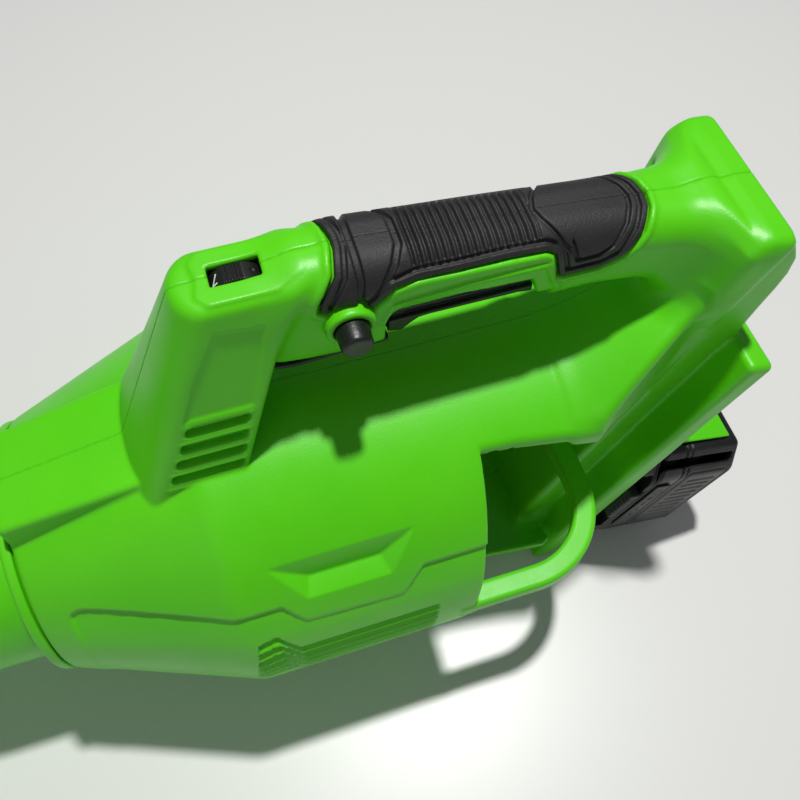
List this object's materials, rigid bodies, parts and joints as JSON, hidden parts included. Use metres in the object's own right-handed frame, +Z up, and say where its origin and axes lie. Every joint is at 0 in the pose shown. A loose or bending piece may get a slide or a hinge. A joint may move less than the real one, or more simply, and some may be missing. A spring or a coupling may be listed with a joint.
{
  "type": "cordless leaf blower",
  "caption": "Cordless axial leaf blower: round fan barrel with blow tube, carrying handle with trigger and speed dial, leaning rear column with slide-on battery pack.",
  "frame": {"origin": "on the floor, at the middle of the underside of the barrel foot, straight under the blow axis", "axes": "+X rearwards along the blow axis (air leaves towards -X), +Y to the right-hand side of the machine, +Z up"},
  "size_m": [0.6832, 0.2, 0.3],
  "materials": {
    "green_plastic": "satin, with fine metallic flake",
    "black_rubber": "soft overmould, matt",
    "black_plastic": "fine moulded texture",
    "grey_plastic": "fine moulded texture",
    "steel": "zinc plated",
    "copper": "bare",
    "circuit_board": "lacquered",
    "wire_sleeve": "smooth"
  },
  "bodies": {
    "root": {"control_board": "circuit_board", "terminal_block": "black_plastic", "terminal_blade_1": "copper", "terminal_blade_2": "copper", "terminal_blade_3": "copper", "left_housing_shell": "green_plastic", "right_housing_shell": "green_plastic", "housing_screw_1": "steel", "housing_screw_2": "steel", "housing_screw_3": "steel", "housing_screw_4": "steel", "housing_screw_5": "steel", "housing_screw_6": "steel", "housing_screw_7": "steel", "grip_left": "black_rubber", "grip_right": "black_rubber", "trigger_pivot_pin": "steel", "trigger_spring": "steel", "dial_potentiometer": "grey_plastic", "trigger_switch": "black_plastic", "fan_duct": "black_plastic", "stator_hub": "black_plastic", "tail_cone": "black_plastic", "motor_can": "steel", "motor_bearing_front": "steel", "motor_bearing_rear": "steel", "intake_grille": "black_plastic", "intake_guard_hoop": "green_plastic", "barrel_foot": "black_rubber", "column_foot": "black_rubber", "power_lead": "wire_sleeve", "motor_lead": "wire_sleeve"},
    "collar": {"locking_collar": "green_plastic"},
    "tube": {"blow_tube": "green_plastic"},
    "fan": {"motor_shaft": "copper", "fan_rotor": "black_plastic", "fan_spinner": "grey_plastic"},
    "trigger_lever": {"trigger": "black_plastic"},
    "lock_off": {"lock_off_button": "black_plastic", "lock_off_spring": "steel"},
    "dial": {"speed_dial": "black_plastic"},
    "battery": {"battery_case": "black_plastic", "battery_rail_frame": "black_plastic", "battery_top_panel": "green_plastic", "battery_gauge_panel": "grey_plastic", "battery_cell_1": "grey_plastic", "battery_cell_2": "grey_plastic", "battery_cell_3": "grey_plastic", "battery_cell_4": "grey_plastic", "battery_cell_5": "grey_plastic", "battery_cell_6": "grey_plastic", "battery_cell_7": "grey_plastic", "battery_cell_8": "grey_plastic", "battery_cell_9": "grey_plastic", "battery_cell_10": "grey_plastic"},
    "battery_release": {"battery_release_button": "grey_plastic"}
  },
  "joints": [
    {"name": "fan_spin", "type": "hinge", "parent": "root", "child": "fan", "pos_m": [0, 0, 0.116], "axis": [-1, 0, 0], "continuous": true},
    {"name": "collar_turn", "type": "hinge", "parent": "root", "child": "collar", "pos_m": [-0.138, 0, 0.116], "axis": [-1, 0, 0], "range_deg": [0, 30]},
    {"name": "tube_slide", "type": "slide", "parent": "root", "child": "tube", "axis": [-1, 0, 0], "range_m": [0, 0.06]},
    {"name": "trigger_pull", "type": "hinge", "parent": "root", "child": "trigger_lever", "pos_m": [0.002, 0, 0.261], "axis": [0, -1, 0], "range_deg": [0, 3.2], "stiffness_Nm_per_rad": 2, "springref_deg": -17.19},
    {"name": "lock_off_press", "type": "slide", "parent": "root", "child": "lock_off", "axis": [0, 1, 0], "range_m": [0, 0.005], "stiffness_N_per_m": 400, "springref_m": -0.004},
    {"name": "dial_turn", "type": "hinge", "parent": "root", "child": "dial", "pos_m": [-0.0104, 0, 0.2845], "axis": [0, 1, 0], "range_deg": [0, 240]},
    {"name": "battery_slide", "type": "slide", "parent": "root", "child": "battery", "axis": [0, -1, 0], "range_m": [0, 0.07]},
    {"name": "battery_release_press", "type": "slide", "parent": "battery", "child": "battery_release", "axis": [0.9455, 0, -0.3256], "range_m": [0, 0.004], "stiffness_N_per_m": 500, "springref_m": -0.003}
  ]
}
